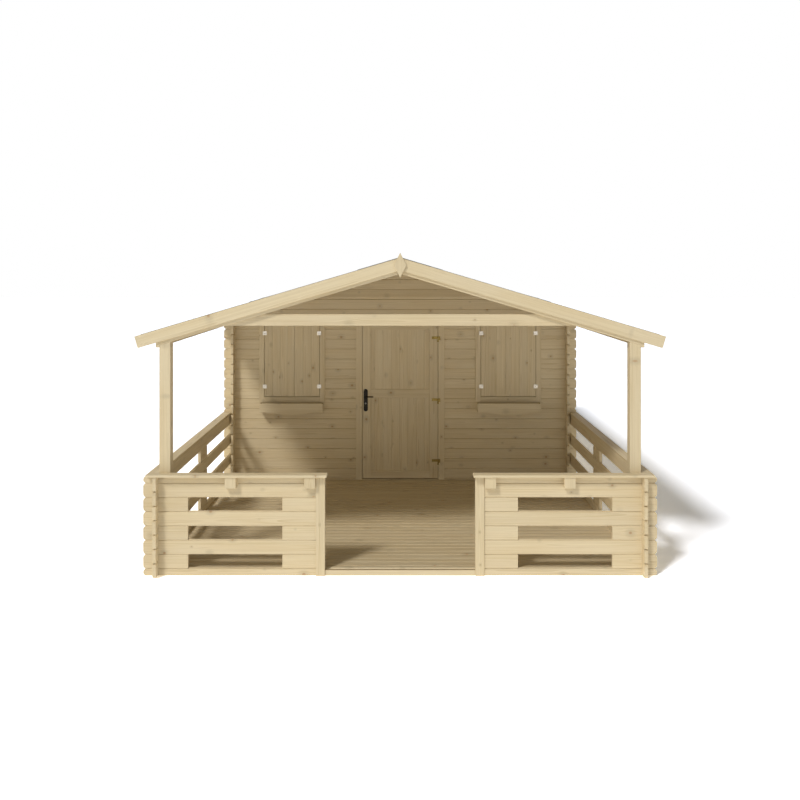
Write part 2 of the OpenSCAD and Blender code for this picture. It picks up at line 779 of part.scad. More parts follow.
// Felt over both slopes, bent at the ridge
module roof_felt() {
    edge_x = 2064;
    low = ridge_z + deck_rise + roof_play;
    high = ridge_z + deck_rise + felt_rise;
    color(FELT) translate([0, roof_back_y, 0]) rotate([90, 0, 0]) linear_extrude(roof_back_y - roof_front_y)
        polygon([[-edge_x, low - slope * edge_x], [0, low], [edge_x, low - slope * edge_x],
                 [edge_x, high - slope * edge_x], [0, high], [-edge_x, high - slope * edge_x]]);
}

module eave_fascias() {
    fascia_h = 75;
    top = ridge_z + deck_rise - slope * (deck_end_x + trim_t);
    color(PALE) for (side = [-1, 1])
        translate([side > 0 ? deck_end_x : -deck_end_x - trim_t, rafter_y, top - fascia_h])
            cube([trim_t, roof_back_y - trim_t - rafter_y, fascia_h]);
}

// Upright diamonds over the joint of the bargeboards
module finials() {
    mid = 2463.9;
    color(PALE) for (y = [roof_front_y, roof_back_y + trim_t])
        translate([0, y, mid]) rotate([90, 0, 0]) linear_extrude(trim_t)
            polygon([[-finial_w / 2, 0], [0, -finial_h / 2], [finial_w / 2, 0], [0, finial_h / 2]]);
}

left_wall();
right_wall();
back_wall();
back_gable();
front_wall_left();
front_wall_right();
front_gable();
cabin_floor();
veranda_floor();
floor_bearers();
threshold();
door_frame();
door_leaf();
door_hinge_straps();
door_hinge_pins();
door_handle_plates();
door_lock_cylinder();
door_lever();
left_window_frame();
right_window_frame();
window_sashes();
window_glass();
left_shutters();
right_shutters();
shutter_clips();
window_boxes();
front_left_rail();
front_right_rail();
left_rail();
right_rail();
entrance_posts();
rail_caps();
cap_brackets();
porch_posts();
eave_plates();
purlins();
front_rafters();
collar_beam();
left_roof_deck();
right_roof_deck();
roof_felt();
front_bargeboards();
back_bargeboards();
eave_fascias();
finials();
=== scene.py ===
# %% [markdown]
# # A log cabin garden shed with a covered veranda
# This lesson dresses a shed that was already drawn in CAD. The CAD file gives the exact shape
# and place of every log and board. Blender adds what a drawing lacks: eased edges, separate
# boards, felt laid in strips, nails and screws, and above all the look of bare spruce.
# The first step loads the CAD model as a fixed frame.

# %% Load the CAD frame
import math
import random

import bmesh
import bpy
from mathutils import Matrix, Vector, noise


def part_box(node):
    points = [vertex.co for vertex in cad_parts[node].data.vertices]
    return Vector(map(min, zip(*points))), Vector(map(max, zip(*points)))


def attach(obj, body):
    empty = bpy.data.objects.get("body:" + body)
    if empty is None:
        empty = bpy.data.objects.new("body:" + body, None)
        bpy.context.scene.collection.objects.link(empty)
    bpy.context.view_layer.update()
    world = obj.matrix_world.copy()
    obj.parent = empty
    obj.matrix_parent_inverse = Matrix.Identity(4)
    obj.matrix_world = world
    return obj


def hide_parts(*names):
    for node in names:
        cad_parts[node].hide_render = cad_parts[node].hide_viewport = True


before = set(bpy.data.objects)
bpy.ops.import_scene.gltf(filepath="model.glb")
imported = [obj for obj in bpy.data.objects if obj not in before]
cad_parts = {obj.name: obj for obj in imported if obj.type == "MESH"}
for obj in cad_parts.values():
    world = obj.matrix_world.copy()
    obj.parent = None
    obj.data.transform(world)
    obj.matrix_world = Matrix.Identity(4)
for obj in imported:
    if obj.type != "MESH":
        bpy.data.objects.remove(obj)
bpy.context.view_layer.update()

# %% [markdown]
# ## Camera
# The shed is seen square on from a little under the height of its ridge. The camera is level,
# so every upright stays upright, as in an architect's drawing, and a lens shift lowers the
# view to the veranda in place of a tilt.

# %% Place the camera
parapet_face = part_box("threshold")[0].y
camera_distance = 6.826
camera_height = 2.4385

lens = bpy.data.cameras.new("view_camera")
lens.lens = 38.7
lens.shift_y = -0.1644
lens.shift_x = -0.0002
camera = bpy.data.objects.new("view_camera", lens)
camera.location = (0, parapet_face - camera_distance, camera_height)
camera.rotation_euler = (math.radians(90), 0, 0)
bpy.context.scene.collection.objects.link(camera)
bpy.context.scene.camera = camera
print("camera at", [round(n, 3) for n in camera.location])

# %% [markdown]
# ## Light
# One broad lamp from the upper left is the key light. It is ten and a half degrees wide,
# which softens the edge of its shadows. A soft sky, brightest at the horizon, fills the shade
# from the sides, as the pale walls of a studio do, and a pale floor throws a good part of the
# light back up under the roof. Together they light an upright sheet of white paper to just
# about white, so that a colour renders as it is written.

# %% Hang the lamp and the sky
sun_direction = Vector((0.785, 1.0, -1.36)).normalized()
sun_data = bpy.data.lights.new("key_sun", "SUN")
sun_data.energy = 1.92
sun_data.angle = math.radians(10.5)
sun_data.color = (1.0, 0.985, 0.97)
sun = bpy.data.objects.new("key_sun", sun_data)
sun.rotation_euler = sun_direction.to_track_quat("-Z", "Y").to_euler()
sun.location = -5 * sun_direction
bpy.context.scene.collection.objects.link(sun)
bpy.context.scene.view_settings.view_transform = "Standard"
print("sun elevation", round(math.degrees(math.asin(-sun_direction.z)), 1))

# %% [markdown]
# ## A short way to wire nodes
# Materials here are built from nodes. The helper put adds one node, sets its options, and
# links or fills its inputs. The others name the steps that come up most, so that each material
# reads like a list of steps. Every surface group has the same three outputs: a colour, a
# roughness and a height for the bumps.

# %% Node helpers
def put(tree, kind, inputs=(), **options):
    made = tree.nodes.new("ShaderNode" + kind)
    for name, value in options.items():
        setattr(made, name, value)
    for key, value in dict(inputs).items():
        if isinstance(value, bpy.types.NodeSocket):
            tree.links.new(value, made.inputs[key])
        else:
            made.inputs[key].default_value = value
    return made


def calc(tree, operation, a, b=0.0, c=0.0, clamp=False):
    return put(tree, "Math", {0: a, 1: b, 2: c}, operation=operation, use_clamp=clamp).outputs[0]


def squared(tree, value):
    return calc(tree, "POWER", value, 2.0)


def spread(tree, value, low, high, to_low=0.0, to_high=1.0, smooth=True):
    kind = "SMOOTHSTEP" if smooth else "LINEAR"
    return put(tree, "MapRange", {0: value, 1: low, 2: high, 3: to_low, 4: to_high},
               interpolation_type=kind).outputs[0]


def blended(tree, factor, a, b, mode="MIX"):
    return put(tree, "Mix", {0: factor, 6: a, 7: b}, data_type="RGBA", blend_type=mode).outputs[2]


surface_outputs = (("Colour", "Color"), ("Roughness", "Float"), ("Height", "Float"))


def new_group(name, inputs):
    group = bpy.data.node_groups.new(name, "ShaderNodeTree")
    for label, kind, value in inputs:
        socket = group.interface.new_socket(label, in_out="INPUT", socket_type="NodeSocket" + kind)
        socket.default_value = value
    for label, kind in surface_outputs:
        group.interface.new_socket(label, in_out="OUTPUT", socket_type="NodeSocket" + kind)
    ins = group.nodes.new("NodeGroupInput").outputs
    outs = group.nodes.new("NodeGroupOutput").inputs
    return group, ins, outs


def new_material(name, colour, roughness, metallic=0.0):
    material = bpy.data.materials.new(name)
    material.use_nodes = True
    shader = material.node_tree.nodes["Principled BSDF"]
    shader.inputs["Base Color"].default_value = (*colour, 1)
    shader.inputs["Roughness"].default_value = roughness
    shader.inputs["Metallic"].default_value = metallic
    return material, material.node_tree, shader

print("node helpers ready")

# %% [markdown]
# ## The sky
# Light Path tells a direct look, or a look by way of metal or glass, from light that bounces
# between surfaces. A direct look sees a white sky. Bounced light finds a fainter one that
# glows at the horizon and is dim overhead.

# %% World
def looks_directly(tree):
    seen = put(tree, "LightPath").outputs
    by_metal_or_glass = calc(tree, "MAXIMUM", seen["Is Glossy Ray"], seen["Is Transmission Ray"])
    return calc(tree, "MAXIMUM", seen["Is Camera Ray"], by_metal_or_glass)


overhead_glow, horizon_glow = 0.05, 0.64
world = bpy.data.worlds.new("studio_sky")
bpy.context.scene.world = world
world.use_nodes = True
sky = world.node_tree
sky.nodes.clear()
height = put(sky, "SeparateXYZ", {0: put(sky, "TexCoord").outputs["Generated"]}).outputs["Z"]
lowness = squared(sky, calc(sky, "SUBTRACT", 1.0, height, clamp=True))
glow = calc(sky, "MULTIPLY_ADD", lowness, horizon_glow, overhead_glow)
fill = put(sky, "Background", {"Color": (0.98, 1.0, 0.99, 1), "Strength": glow}).outputs[0]
backdrop = put(sky, "Background", {"Color": (1, 1, 1, 1), "Strength": 1.0}).outputs[0]
mixed = put(sky, "MixShader", {0: looks_directly(sky), 1: fill, 2: backdrop}).outputs[0]
put(sky, "OutputWorld", {"Surface": mixed})
print("sky ready")

# %% [markdown]
# ## The ground
# The shed stands on a plain pale floor. A direct look finds it white in the light and grey in
# the shed's shadow. Bounced light finds a paler floor that also glows a little, as a wide
# sheet of studio paper does in a bright room.

# %% Floor
floor_mesh = bpy.data.meshes.new("studio_floor")
floor_form = bmesh.new()
bmesh.ops.create_grid(floor_form, x_segments=1, y_segments=1, size=60)
floor_form.to_mesh(floor_mesh)
floor_form.free()
floor = bpy.data.objects.new("studio_floor", floor_mesh)
floor.location.z = -0.0005
bpy.context.scene.collection.objects.link(floor)

paper_in_bounces, paper_seen, paper_glow = (0.95, 0.945, 0.93, 1), (2.05, 2.11, 2.26, 1), 0.56
floor_paint = bpy.data.materials.new("studio_white")
floor_paint.use_nodes = True
tree = floor_paint.node_tree
tree.nodes.clear()
seen_directly = looks_directly(tree)
paper = blended(tree, seen_directly, paper_in_bounces, paper_seen)
matt = put(tree, "BsdfDiffuse", {"Color": paper}).outputs[0]
glow = spread(tree, seen_directly, 0, 1, paper_glow, 0.0, smooth=False)
lift = put(tree, "Emission", {"Color": (1, 1, 1, 1), "Strength": glow}).outputs[0]
put(tree, "OutputMaterial", {"Surface": put(tree, "AddShader", {0: matt, 1: lift}).outputs[0]})
floor_mesh.materials.append(floor_paint)
print("floor ready")

# %% [markdown]
# ## Bare spruce
# Spruce is pale and quiet: thin brown rings that the saw turns into long streaks, a slow
# drift of tone along the timber, and a few small round knots with the rings bent round them.
# The pattern is solid, cut out of an imaginary trunk. Each timber carries a point attribute
# called grain, its own coordinates in metres: x along the timber, y across its face and z
# through it, moved to another part of the trunk for each timber. A face then shows long
# streaks and an end shows arcs of rings with no further work.

# %% The spruce group
spruce, given, out = new_group(
    "spruce_grain",
    [("Grain", "Vector", (0, 0, 0)), ("Tone", "Float", 0.0),
     ("Pale", "Color", (0.7, 0.58, 0.37, 1)), ("Brown", "Color", (0.5, 0.36, 0.18, 1)),
     ("Knots", "Float", 0.5), ("Contrast", "Float", 1.0)])
g = spruce
x, y, z = put(g, "SeparateXYZ", {0: given["Grain"]}).outputs[:3]
print("spruce inputs:", [socket.name for socket in given if socket.name])

# %% [markdown]
# ## Knots
# A knot is a branch cut across, so here it is an egg whose long axis runs into the timber. The
# face of a timber is divided into long cells, and each cell may hold one knot, at its own depth
# and of its own size. Three masks come out of it: the knot, its dark heart, and a wide halo in
# which the wood is a little darker.

# %% Place the knots
cell_long, cell_wide = 0.34, 0.11
nearest, depth_range = 0.03, 0.06
smallest, size_range = 0.0040, 0.0085
shrink_along, shrink_through, raggedness = 0.8, 0.35, 0.0035

cell = put(g, "CombineXYZ", {0: calc(g, "DIVIDE", x, cell_long),
                             1: calc(g, "DIVIDE", y, cell_wide)}).outputs[0]
cells = put(g, "TexVoronoi", {"Vector": cell, "Scale": 1.0, "Randomness": 0.85},
            voronoi_dimensions="2D").outputs
draw_red, draw_green, draw_blue = put(g, "SeparateColor", {0: cells["Color"]}).outputs[:3]
middle_x, middle_y, _ = put(g, "SeparateXYZ", {0: cells["Position"]}).outputs[:3]
dx = calc(g, "SUBTRACT", x, calc(g, "MULTIPLY", middle_x, cell_long))
dy = calc(g, "SUBTRACT", y, calc(g, "MULTIPLY", middle_y, cell_wide))
dz = calc(g, "SUBTRACT", z, calc(g, "MULTIPLY_ADD", draw_blue, depth_range, nearest))
has_knot = calc(g, "LESS_THAN", draw_red, given["Knots"])
radius = calc(g, "MULTIPLY_ADD", calc(g, "POWER", draw_green, 1.3), size_range, smallest)

flat_reach = calc(g, "ADD", squared(g, calc(g, "MULTIPLY", dx, shrink_along)), squared(g, dy))
solid_reach = calc(g, "ADD", flat_reach, squared(g, calc(g, "MULTIPLY", dz, shrink_through)))
ragged = put(g, "TexNoise", {"Vector": given["Grain"], "Scale": 160.0, "Detail": 2.0}).outputs[0]
reach = calc(g, "MULTIPLY_ADD", calc(g, "SUBTRACT", ragged, 0.5), raggedness,
             calc(g, "SQRT", solid_reach))
share = calc(g, "DIVIDE", reach, radius)
knot = calc(g, "MULTIPLY", has_knot, spread(g, share, 1.25, 0.8))
heart = calc(g, "MULTIPLY", has_knot, spread(g, share, 0.75, 0.2))
halo = calc(g, "MULTIPLY", has_knot, spread(g, share, 4.5, 0.9))
print("knots:", len(g.nodes), "nodes so far")

# %% [markdown]
# ## Rings and streaks
# A ring is a distance from the middle of the trunk, warped a little, and it is pulled aside
# where it meets a knot. Its late wood is the thin brown line at its outer side. Four noises,
# all stretched along the timber, give the warp, the streaks, the fibres and the slow drift.

# %% Grow the rings
ring_width, ring_warp = 0.0042, 0.03
pull_long, pull_wide, pull_strength = 6.0, 3.0, 0.85


def stretched_noise(side, along, across, detail):
    place = put(g, "CombineXYZ", {0: calc(g, "MULTIPLY", x, along),
                                  1: calc(g, "MULTIPLY", side, across),
                                  2: calc(g, "MULTIPLY", z, across)}).outputs[0]
    return put(g, "TexNoise", {"Vector": place, "Scale": 1.0, "Detail": detail}).outputs[0]


far_x = squared(g, calc(g, "DIVIDE", dx, calc(g, "MULTIPLY", radius, pull_long)))
far_y = squared(g, calc(g, "DIVIDE", dy, calc(g, "MULTIPLY", radius, pull_wide)))
pull = calc(g, "EXPONENT", calc(g, "MULTIPLY", calc(g, "ADD", far_x, far_y), -1.0))
pull = calc(g, "MULTIPLY", calc(g, "MULTIPLY", pull, has_knot), pull_strength)
bent_y = calc(g, "SUBTRACT", y, calc(g, "MULTIPLY", dy, pull))

warp = stretched_noise(bent_y, 0.7, 5.0, 2.5)
streak = stretched_noise(bent_y, 1.4, 95.0, 3.0)
fibre = stretched_noise(bent_y, 14.0, 700.0, 2.0)
drift = stretched_noise(y, 1.6, 9.0, 2.0)

pith = calc(g, "SQRT", calc(g, "ADD", squared(g, bent_y), squared(g, z)))
pith = calc(g, "MULTIPLY_ADD", calc(g, "SUBTRACT", warp, 0.5), ring_warp, pith)
ring_number = calc(g, "DIVIDE", pith, ring_width)
within = calc(g, "FRACT", ring_number)
late = calc(g, "MULTIPLY", spread(g, within, 0.35, 0.9), spread(g, within, 1.0, 0.93))
ring_draw = put(g, "TexWhiteNoise", {"W": calc(g, "FLOOR", ring_number)},
                noise_dimensions="1D").outputs["Value"]
late = calc(g, "MULTIPLY", late, calc(g, "MULTIPLY_ADD", ring_draw, 0.75, 0.25))
print("rings:", len(g.nodes), "nodes so far")

# %% [markdown]
# ## Colour, gloss and relief
# Late wood, streaks, fibres and drift add up to one depth of brown, which picks a colour
# between the timber's pale and its brown. The timber's tone then makes all of it lighter or
# darker, and the knots come last.

# %% Colour the wood
late_share, streak_share, fibre_share, drift_share = 0.42, 0.28, 0.40, 0.36
knot_light, knot_dark = (0.46, 0.29, 0.15, 1), (0.32, 0.18, 0.09, 1)

depth = calc(g, "MULTIPLY", late, late_share)
depth = calc(g, "MULTIPLY_ADD", spread(g, streak, 0.35, 0.75), streak_share, depth)
depth = calc(g, "MULTIPLY_ADD", calc(g, "SUBTRACT", fibre, 0.5), fibre_share, depth)
depth = calc(g, "MULTIPLY_ADD", calc(g, "SUBTRACT", drift, 0.5), drift_share, depth)
depth = calc(g, "MULTIPLY", depth, given["Contrast"], clamp=True)
wood = blended(g, depth, given["Pale"], given["Brown"])
tint = blended(g, spread(g, drift, 0.3, 0.7), (1.0, 1.0, 1.0, 1), (1.010, 0.996, 0.960, 1))
wood = blended(g, 1.0, wood, tint, "MULTIPLY")

# The tone is a random lightness for each timber. On the threshold top it also carries painted
# shade, and on the front face of the first veranda board a painted highlight.
lit = calc(g, "MULTIPLY_ADD", given["Tone"], 0.04, 1.0)
lit = calc(g, "MULTIPLY", lit, calc(g, "MULTIPLY_ADD", halo, -0.16, 1.0))
lit_green = calc(g, "MULTIPLY_ADD", given["Tone"], 0.005, lit)
lit_blue = calc(g, "MULTIPLY_ADD", given["Tone"], 0.012, lit)
lit_colour = put(g, "CombineColor", {0: lit, 1: lit_green, 2: lit_blue}).outputs[0]
wood = blended(g, 1.0, wood, lit_colour, "MULTIPLY")
knot_brown = blended(g, heart, knot_light, knot_dark)
wood = blended(g, calc(g, "MULTIPLY", knot, 0.75), wood, knot_brown)

rough = calc(g, "MULTIPLY_ADD", streak, 0.2, 0.52)
relief = calc(g, "MULTIPLY_ADD", late, 0.5, calc(g, "MULTIPLY", fibre, 0.5))
g.links.new(wood, out["Colour"])
g.links.new(calc(g, "MULTIPLY_ADD", knot, -0.15, rough), out["Roughness"])
g.links.new(calc(g, "MULTIPLY_ADD", knot, 0.5, relief), out["Height"])
print("spruce group:", len(g.nodes), "nodes")

# %% [markdown]
# ## Spruce in three qualities
# The logs, the planed boards and the floor are the same spruce. The boards are a touch paler
# and have fewer knots, and the floor, which is walked on, is browner. The helper dress places
# a surface group in a material and wires its three outputs, and other finishes use it too.

# %% Spruce materials
def dress(tree, shader, group, inputs, strength, depth):
    surface = put(tree, "Group", inputs, node_tree=group).outputs
    tree.links.new(surface["Colour"], shader.inputs["Base Color"])
    tree.links.new(surface["Roughness"], shader.inputs["Roughness"])
    bump = put(tree, "Bump", {"Strength": strength, "Distance": depth,
                              "Height": surface["Height"]})
    tree.links.new(bump.outputs[0], shader.inputs["Normal"])


grain_contrast, grain_bump, grain_depth = 1.1, 0.5, 0.0005


def spruce_material(name, pale, brown, knots):
    material, tree, shader = new_material(name, pale, 0.6)
    grain = put(tree, "Attribute", attribute_name="grain").outputs["Vector"]
    tone = put(tree, "Attribute", attribute_name="tone").outputs["Fac"]
    inputs = {"Grain": grain, "Tone": tone, "Pale": (*pale, 1), "Brown": (*brown, 1),
              "Knots": knots, "Contrast": grain_contrast}
    dress(tree, shader, spruce, inputs, grain_bump, grain_depth)
    shader.inputs["IOR"].default_value = 1.4
    return material


log_spruce = spruce_material("log_spruce", (0.682, 0.572, 0.378), (0.505, 0.392, 0.220), 0.60)
board_spruce = spruce_material("board_spruce", (0.682, 0.574, 0.380), (0.510, 0.398, 0.225), 0.52)
floor_spruce = spruce_material("floor_spruce", (0.560, 0.466, 0.302), (0.380, 0.282, 0.155), 0.50)
print("spruce materials ready")

# %% [markdown]
# ## From CAD solid to timber
# A CAD log is right in shape, but its edges are razor sharp and its mesh is loose triangles.
# A copy is merged, its flat faces are dissolved back into whole faces, and every sharp edge
# gets a small chamfer that catches the light, as a planed edge does. Each loose part of the
# mesh is one timber. Its longest side gives the direction of its grain, and a seeded draw
# moves it to its own place in the trunk and gives it its own tone.

# %% Timber helpers
def clean_copy(node):
    form = bmesh.new()
    form.from_mesh(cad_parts[node].data)
    bmesh.ops.remove_doubles(form, verts=form.verts, dist=0.00002)
    bmesh.ops.dissolve_limit(form, angle_limit=math.radians(0.4),
                             verts=form.verts, edges=form.edges)
    return form


def ease(form, edges, width, segments=1):
    bmesh.ops.bevel(form, geom=edges, offset=width, offset_type="OFFSET", affect="EDGES",
                    segments=segments, profile=0.5, material=-1, clamp_overlap=True)


def chamfer(form, width, sharper_than=30, segments=1):
    sharp = [e for e in form.edges
             if e.is_manifold and e.is_convex and e.calc_face_angle() > math.radians(sharper_than)]
    ease(form, sharp, width, segments)


def loose_parts(form):
    for vert in form.verts:
        vert.tag = False
    parts = []
    for vert in form.verts:
        if vert.tag:
            continue
        vert.tag = True
        part, to_visit = [vert], [vert]
        while to_visit:
            here = to_visit.pop()
            for other in (edge.other_vert(here) for edge in here.link_edges):
                if not other.tag:
                    other.tag = True
                    part.append(other)
                    to_visit.append(other)
        parts.append(part)
    return parts


trunk_length, off_centre, pith_distance, tone_spread = 60, 0.035, (0.03, 0.085), 0.45


def give_grain(form, seed, along=None):
    draw = random.Random(seed)
    grain = form.verts.layers.float_vector.new("grain")
    tone = form.verts.layers.float.new("tone")
    for part in loose_parts(form):
        low = Vector([min(v.co[i] for v in part) for i in range(3)])
        high = Vector([max(v.co[i] for v in part) for i in range(3)])
        middle, size = (low + high) / 2, high - low
        if along:
            length_way = Vector(along(middle) if callable(along) else along).normalized()
            across = Vector((0, 1, 0)) if abs(length_way.y) < 0.5 else Vector((1, 0, 0))
            through = length_way.cross(across).normalized()
        else:
            thin_to_long = sorted(range(3), key=lambda i: size[i])
            through, across, length_way = [Vector([float(i == n) for i in range(3)])
                                           for n in thin_to_long]
        shift = Vector((draw.uniform(0, trunk_length), draw.uniform(-off_centre, off_centre),
                        draw.uniform(*pith_distance)))
        colour = draw.gauss(0, tone_spread)
        for vert in part:
            place = vert.co - middle
            spot = Vector((place.dot(length_way), place.dot(across), place.dot(through)))
            vert[grain] = spot + shift
            vert[tone] = colour


def finish_piece(form, name, body, material, stands_for=(), smooth_below=16):
    mesh = bpy.data.meshes.new(name)
    form.to_mesh(mesh)
    form.free()
    mesh.materials.append(material)
    mesh.polygons.foreach_set("use_smooth", [True] * len(mesh.polygons))
    mesh.set_sharp_from_angle(angle=math.radians(smooth_below))
    piece = bpy.data.objects.new(name, mesh)
    bpy.context.scene.collection.objects.link(piece)
    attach(piece, body)
    if stands_for:
        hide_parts(*stands_for)
    mesh.calc_loop_triangles()
    print(f"{name}: {len(mesh.loop_triangles)} triangles")


def timber(node, material, width=0.0012, along=None, seed=None):
    form = clean_copy(node)
    chamfer(form, width)
    give_grain(form, seed or node, along)
    finish_piece(form, "cut_" + node, "shed", material, [node])

print("timber helpers ready")

# %% [markdown]
# ## Walls, gables and rails
# The walls are stacks of notched logs. Each is one CAD solid, so the copies keep the tongue
# and groove and the interlocking corners exactly.

# %% Log work
for node in ("left_wall", "right_wall", "back_wall", "back_gable", "front_wall_left",
             "front_wall_right", "front_gable", "front_left_rail", "front_right_rail",
             "left_rail", "right_rail", "floor_bearers", "eave_plates", "collar_beam", "purlins"):
    timber(node, log_spruce)

# %% [markdown]
# ## Posts, trims and rafters
# These are single sawn boards and posts. The ones on the slope of the roof have their grain
# along the slope, so they are given their own length way, and the rest find it themselves.
# The top of the threshold is painted darker, a painted shade that stands for the dark shadow line
# between the threshold and the floor boards.

# %% Boards that keep their CAD shape
ridge_height, roof_slope = 2.504, 0.296
painted_shade_tone = -11.0


def down_the_slope(middle):
    return Vector((1, 0, -math.copysign(roof_slope, middle.x)))


for node in ("entrance_posts", "rail_caps", "cap_brackets", "porch_posts", "eave_fascias",
             "window_sashes"):
    timber(node, board_spruce, width=0.002, seed=node + "_a")
for node in ("front_bargeboards", "back_bargeboards"):
    timber(node, board_spruce, width=0.0015, along=down_the_slope, seed=node + "_a")
form = clean_copy("threshold")
chamfer(form, 0.002)
give_grain(form, "threshold")
tone = form.verts.layers.float["tone"]
# The top face gets a low tone: painted shade for the dark shadow line between threshold and floor.
top = max(vert.co.z for vert in form.verts)
for vert in form.verts:
    if vert.co.z > top - 0.0005:
        vert[tone] = painted_shade_tone
finish_piece(form, "cut_threshold", "shed", board_spruce, ["threshold"])
timber("finials", board_spruce, width=0.0015, along=(0, 0, 1))
timber("front_rafters", log_spruce, width=0.0015, along=down_the_slope)

# %% [markdown]
# ## Planks
# The CAD file draws a floor or a door panel as one solid with grooves. On the real shed these
# are separate boards, so they are built here one by one, inside the solid they stand for: a
# unit cube is stretched to each board's box, and all the edges of the set are eased at once.

# %% Plank helpers
def add_plank(form, low, high):
    low, high = Vector(low), Vector(high)
    size = high - low
    place = Matrix.Translation((low + high) / 2) @ Matrix.Diagonal((*size, 1))
    bmesh.ops.create_cube(form, size=1.0, matrix=place)


def planked(name, boxes, nodes, material, body="shed", width=0.0015, along=None, bend=None):
    form = bmesh.new()
    for low, high in boxes:
        add_plank(form, low, high)
    if bend:
        for vert in form.verts:
            vert.co = bend(vert.co)
    chamfer(form, width)
    give_grain(form, name, along)
    finish_piece(form, name, body, material, nodes)


def between(edges, gap):
    inner = len(edges) - 2
    return [(start + gap / 2 * (n > 0), end - gap / 2 * (n < inner))
            for n, (start, end) in enumerate(zip(edges, edges[1:]))]


def shares(low, high, count, gap):
    return between([low + (high - low) * n / count for n in range(count + 1)], gap)

print("plank helpers ready")

# %% [markdown]
# ## Floors
# The boards are 88 mm apart, with a 4 mm joint between them on the veranda and hardly any in
# the cabin. A veranda board is drawn as an outline seen from above and then given its
# thickness, because four of them are shorter or notched: the first two stop beside the corner
# posts and the last two beside the tips of the wall logs, and the last is also cut out for the
# door frame. The front face of the first board is painted lighter, a painted highlight for the
# bright line along the front edge of the floor. Edges and vertices are picked by their place,
# to within a hair of one millimetre.

# %% Veranda boards
board_pitch, veranda_count, cabin_count = 0.088, 34, 42
veranda_joint, cabin_joint, worn_edge, painted_highlight_tone = 0.004, 0.0014, 0.009, 14.0
hair = 0.001
post_side, clearance, tip_clearance, wall_clearance = 0.088, 0.0015, 0.002, 0.004

post_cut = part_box("porch_posts")[1] + Vector((-post_side - clearance, clearance, 0))
wall_low, wall_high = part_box("left_wall")
tip_cut = Vector((-wall_high.x - wall_clearance, wall_low.y - tip_clearance, 0))
frame_low, frame_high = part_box("door_frame")
frame_cut = Vector((frame_high.x + clearance, frame_low.y - 0.001, 0))
low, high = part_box("veranda_floor")


def board_outline(start, end):
    steps = [start, *(y for y in (post_cut.y, tip_cut.y) if start < y < end), end]
    right = []
    for y0, y1 in zip(steps, steps[1:]):
        middle = (y0 + y1) / 2
        half = post_cut.x if middle < post_cut.y else tip_cut.x if middle > tip_cut.y else high.x
        right += [(half, y0), (half, y1)]
    if end > frame_cut.y:
        right += [(frame_cut.x, end), (frame_cut.x, frame_cut.y)]
    return right + [(-x, y) for x, y in reversed(right)]


def only_verts(geom):
    return [e for e in geom if isinstance(e, bmesh.types.BMVert)]


def is_board_edge(edge):
    on_top = all(v.co.z > high.z - hair for v in edge.verts)
    before_the_frame = all(v.co.y < frame_cut.y - veranda_joint for v in edge.verts)
    return on_top and before_the_frame and abs(edge.verts[0].co.y - edge.verts[1].co.y) < hair


form = bmesh.new()
seams = [parapet_face + board_pitch * n for n in range(1, veranda_count)]
for start, end in between([low.y, *seams, high.y], veranda_joint):
    verts = [bmesh.ops.create_vert(form, co=(x, y, low.z))["vert"][0]
             for x, y in board_outline(start, end)]
    face = bmesh.ops.contextual_create(form, geom=verts)["faces"]
    raised = bmesh.ops.extrude_face_region(form, geom=face, use_keep_orig=True)["geom"]
    bmesh.ops.translate(form, verts=only_verts(raised), vec=(0, 0, high.z - low.z))
bmesh.ops.recalc_face_normals(form, faces=form.faces)
ease(form, [edge for edge in form.edges if is_board_edge(edge)], worn_edge)
chamfer(form, 0.0012, sharper_than=60)
give_grain(form, "veranda", along=(1, 0, 0))
tone = form.verts.layers.float["tone"]
# The front face of the first board gets a high tone: a painted highlight for the bright line along
# the front of the floor.
for vert in form.verts:
    if vert.co.y < low.y + hair:
        vert[tone] = painted_highlight_tone
finish_piece(form, "veranda_boards", "shed", floor_spruce, ["veranda_floor"])

# %% Cabin boards
low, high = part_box("cabin_floor")
seams = [low.y + board_pitch * n for n in range(1, cabin_count)]
boxes = [((low.x, start, low.z), (high.x, end, high.z))
         for start, end in between([low.y, *seams, high.y], cabin_joint)]
planked("cabin_boards", boxes, ["cabin_floor"], floor_spruce)

# %% [markdown]
# ## Roof boards
# Tongue and groove boards run from the ridge to the eaves, side by side along the shed. Their
# edges are eased, which draws fine lines across the ceiling of the veranda. A flat box is
# built first, and a shear then lays it on the slope and keeps its ends upright.

# %% Roof boards
deck_count, deck_thick, tight_joint, ridge_gap, clear = 78, 0.019, 0.0004, 0.0005, 0.0001
deck_rise = deck_thick * math.hypot(1, roof_slope)


def on_the_slope(point):
    return Vector((point.x, point.y, point.z - roof_slope * abs(point.x)))


for side, node in ((-1, "left_roof_deck"), (1, "right_roof_deck")):
    low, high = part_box(node)
    eave = max(abs(low.x), abs(high.x))
    x0, x1 = sorted((side * ridge_gap, side * eave))
    boxes = [((x0, start, ridge_height + clear), (x1, end, ridge_height + deck_rise))
             for start, end in shares(low.y, high.y, deck_count, tight_joint)]
    planked(node.replace("deck", "boards"), boxes, [node], board_spruce,
            width=0.0025, along=down_the_slope, bend=on_the_slope)

# %% [markdown]
# ## Door
# The leaf is framed: two stiles and three rails, with eight upright boards set back between
# them. The frame's jambs, head and sill are milled timbers that grip the cut logs.

# %% Door leaf and frame
low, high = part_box("door_leaf")
stile, rail, foot, panel_back, panel_thick, tongue = 0.095, 0.088, 0.006, 0.014, 0.016, 0.004
first_joint, panel_pitch, panel_joints = -0.288, 0.094, 7
bottom_rail = (low.z + foot, low.z + rail)
middle_rail = (0.974, 1.070)
top_rail = (high.z - rail, high.z)
panel_edges = [low.x + stile, *(first_joint + panel_pitch * n for n in range(panel_joints)),
               high.x - stile]

